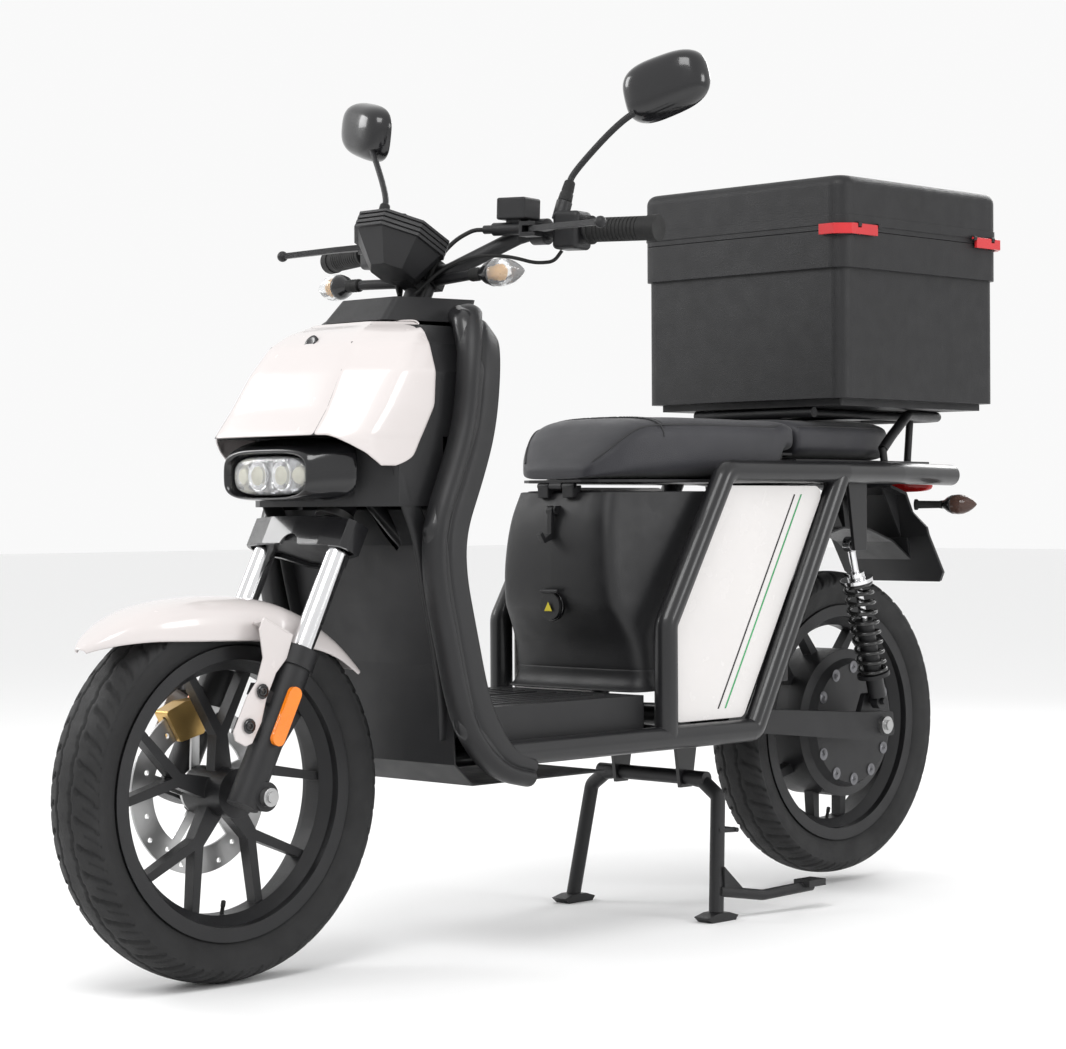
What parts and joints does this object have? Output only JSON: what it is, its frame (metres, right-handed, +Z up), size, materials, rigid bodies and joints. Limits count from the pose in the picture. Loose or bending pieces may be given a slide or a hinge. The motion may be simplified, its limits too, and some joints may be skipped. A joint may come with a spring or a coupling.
{
  "type": "moped scooter",
  "caption": "Electric delivery moped scooter with step-through tube frame, telescopic fork, hub motor, hinged seat and lidded top box.",
  "frame": {"origin": "on the ground plane, under the middle of the overall box", "axes": "+X forward, +Y to the rider's left, +Z up"},
  "size_m": [1.7469, 0.7294, 1.2303],
  "materials": {
    "white_panel": "gloss",
    "black_plastic": "satin",
    "gloss_black": "gloss",
    "black_metal": "satin",
    "chrome": "polished",
    "steel": "brushed",
    "cast": "cast",
    "tyre": "matt",
    "rubber": "matt",
    "seat_vinyl": "grained",
    "lens_clear": "clear",
    "lens_dark": "smoked",
    "reflector": "prismatic",
    "caliper": "satin",
    "red_plastic": "gloss",
    "side_panel": "satin"
  },
  "bodies": {
    "scooter": {"main_frame": "black_metal", "head_bearings": "steel", "leg_shield": "black_plastic", "belly_cover": "black_plastic", "front_cowl": "black_plastic", "front_panel": "white_panel", "headlight_housing": "gloss_black", "headlight_lens": "lens_clear", "floorboard": "black_plastic", "seat_base": "black_plastic", "side_panels": "side_panel", "tail_cover": "black_plastic", "rear_lamps": "lens_dark", "rear_mudguard": "black_plastic", "luggage_rack": "black_metal", "pillion_pad": "black_plastic", "box_body": "black_plastic", "battery_packs": "black_plastic", "motor_controller": "cast"},
    "steering": {"steering_stem": "black_metal", "bridge_cover": "gloss_black", "fork_tubes": "chrome", "handlebar": "black_metal", "instrument_pod": "black_plastic", "left_grip": "rubber", "switch_pods": "black_plastic", "master_cylinders": "black_metal", "brake_hoses": "rubber", "front_signals": "lens_clear"},
    "fork_lower": {"fork_legs": "black_metal", "front_axle": "steel", "front_mudguard": "white_panel", "front_caliper": "caliper", "side_reflectors": "reflector"},
    "front_wheel": {"front_rim": "black_metal", "front_tyre": "tyre", "brake_disc": "steel"},
    "throttle": {"throttle_grip": "rubber"},
    "lever_left": {"brake_lever_left": "black_metal"},
    "lever_right": {"brake_lever_right": "black_metal"},
    "mirror_left_arm": {"mirror_left": "gloss_black"},
    "mirror_right_arm": {"mirror_right": "gloss_black"},
    "horn": {"horn_button": "red_plastic"},
    "turn": {"turn_switch": "black_plastic"},
    "start": {"start_button": "red_plastic"},
    "rear_arm": {"swingarm": "black_metal", "rear_axle": "steel"},
    "rear_wheel": {"rear_rim": "black_metal", "rear_tyre": "tyre"},
    "shock_upper": {"shock_shafts": "chrome", "shock_springs": "black_metal"},
    "shock_lower": {"shock_dampers": "black_metal"},
    "seat_assembly": {"seat": "seat_vinyl", "seat_pan": "black_plastic"},
    "lid": {"box_lid": "black_plastic"},
    "latch_a": {"latch_front": "red_plastic"},
    "latch_b": {"latch_rear": "red_plastic"},
    "stand": {"centre_stand": "black_metal"},
    "hook": {"bag_hook": "black_metal"},
    "flap": {"port_flap": "black_plastic"}
  },
  "joints": [
    {"name": "steering_turn", "type": "hinge", "parent": "scooter", "child": "steering", "pos_m": [0.44765, 0, 0.5625], "axis": [-0.454, 0, 0.891], "range_deg": [-35, 35]},
    {"name": "fork_travel", "type": "slide", "parent": "steering", "child": "fork_lower", "axis": [-0.454, 0, 0.891], "range_m": [0, 0.05], "stiffness_N_per_m": 20000, "springref_m": -0.02},
    {"name": "front_wheel_spin", "type": "hinge", "parent": "fork_lower", "child": "front_wheel", "pos_m": [0.6285, 0, 0.245], "axis": [0, 1, 0], "continuous": true},
    {"name": "throttle_turn", "type": "hinge", "parent": "steering", "child": "throttle", "pos_m": [0.15935, -0.25268, 0.98414], "axis": [-0.1929, -0.9807, -0.0322], "range_deg": [0, 65], "stiffness_Nm_per_rad": 0.4, "springref_deg": -11.46},
    {"name": "left_brake_pull", "type": "hinge", "parent": "steering", "child": "lever_left", "pos_m": [0.21673, 0.16822, 0.98716], "axis": [-0.0062, 0.0315, 0.9995], "range_deg": [0, 17], "stiffness_Nm_per_rad": 3, "springref_deg": -8.59},
    {"name": "right_brake_pull", "type": "hinge", "parent": "steering", "child": "lever_right", "pos_m": [0.21673, -0.16822, 0.98716], "axis": [0.0062, 0.0315, -0.9995], "range_deg": [0, 17], "stiffness_Nm_per_rad": 3, "springref_deg": -8.59},
    {"name": "left_mirror_turn", "type": "hinge", "parent": "steering", "child": "mirror_left_arm", "pos_m": [0.1725, 0.185, 1.026], "axis": [-0.3083, 0.0711, 0.9486], "range_deg": [-25, 25]},
    {"name": "right_mirror_turn", "type": "hinge", "parent": "steering", "child": "mirror_right_arm", "pos_m": [0.1725, -0.185, 1.026], "axis": [-0.3083, -0.0711, 0.9486], "range_deg": [-25, 25]},
    {"name": "horn_press", "type": "slide", "parent": "steering", "child": "horn", "axis": [0.9812, 0.193, 0], "range_m": [0, 0.0025], "stiffness_N_per_m": 400, "springref_m": -0.0005},
    {"name": "turn_slide", "type": "slide", "parent": "steering", "child": "turn", "axis": [-0.1929, 0.9807, -0.0322], "range_m": [-0.003, 0.003], "stiffness_N_per_m": 300},
    {"name": "start_press", "type": "slide", "parent": "steering", "child": "start", "axis": [0.9812, -0.193, 0], "range_m": [0, 0.0025], "stiffness_N_per_m": 400, "springref_m": -0.0005},
    {"name": "swingarm_travel", "type": "hinge", "parent": "scooter", "child": "rear_arm", "pos_m": [-0.2475, 0, 0.29], "axis": [0, 1, 0], "range_deg": [0, 9], "stiffness_Nm_per_rad": 1500, "springref_deg": -2.86},
    {"name": "rear_wheel_spin", "type": "hinge", "parent": "rear_arm", "child": "rear_wheel", "pos_m": [-0.6285, 0, 0.26], "axis": [0, 1, 0], "continuous": true},
    {"name": "shock_swing", "type": "hinge", "parent": "scooter", "child": "shock_upper", "pos_m": [-0.5345, 0, 0.55], "axis": [0, 1, 0], "range_deg": [0, 2.61]},
    {"name": "shock_stroke", "type": "slide", "parent": "shock_upper", "child": "shock_lower", "axis": [0.2696, 0, 0.963], "range_m": [0, 0.05516], "deforming": ["shock_springs"]},
    {"name": "seat_lift", "type": "hinge", "parent": "scooter", "child": "seat_assembly", "pos_m": [-0.0015, 0, 0.641], "axis": [0, 1, 0], "range_deg": [0, 75]},
    {"name": "lid_lift", "type": "hinge", "parent": "scooter", "child": "lid", "pos_m": [-0.6225, -0.215, 1.031], "axis": [1, 0, 0], "range_deg": [0, 95]},
    {"name": "front_latch_lift", "type": "hinge", "parent": "lid", "child": "latch_a", "pos_m": [-0.4545, 0.2125, 1.039], "axis": [1, 0, 0], "range_deg": [0, 60]},
    {"name": "rear_latch_lift", "type": "hinge", "parent": "lid", "child": "latch_b", "pos_m": [-0.7905, 0.2125, 1.039], "axis": [1, 0, 0], "range_deg": [0, 60]},
    {"name": "stand_fold", "type": "hinge", "parent": "scooter", "child": "stand", "pos_m": [-0.2075, 0, 0.205], "axis": [0, 1, 0], "range_deg": [0, 72]},
    {"name": "hook_swing", "type": "hinge", "parent": "scooter", "child": "hook", "pos_m": [0.0105, 0, 0.606], "axis": [0, -1, 0], "range_deg": [0, 80]},
    {"name": "flap_lift", "type": "hinge", "parent": "scooter", "child": "flap", "pos_m": [0.0155, 0, 0.488], "axis": [0, -1, 0], "range_deg": [0, 95]}
  ],
  "couplings": [
    {"joint": "shock_swing", "follows": "swingarm_travel", "ratio": 0.28909},
    {"joint": "shock_stroke", "follows": "swingarm_travel", "m_per_rad": 0.3505}
  ]
}
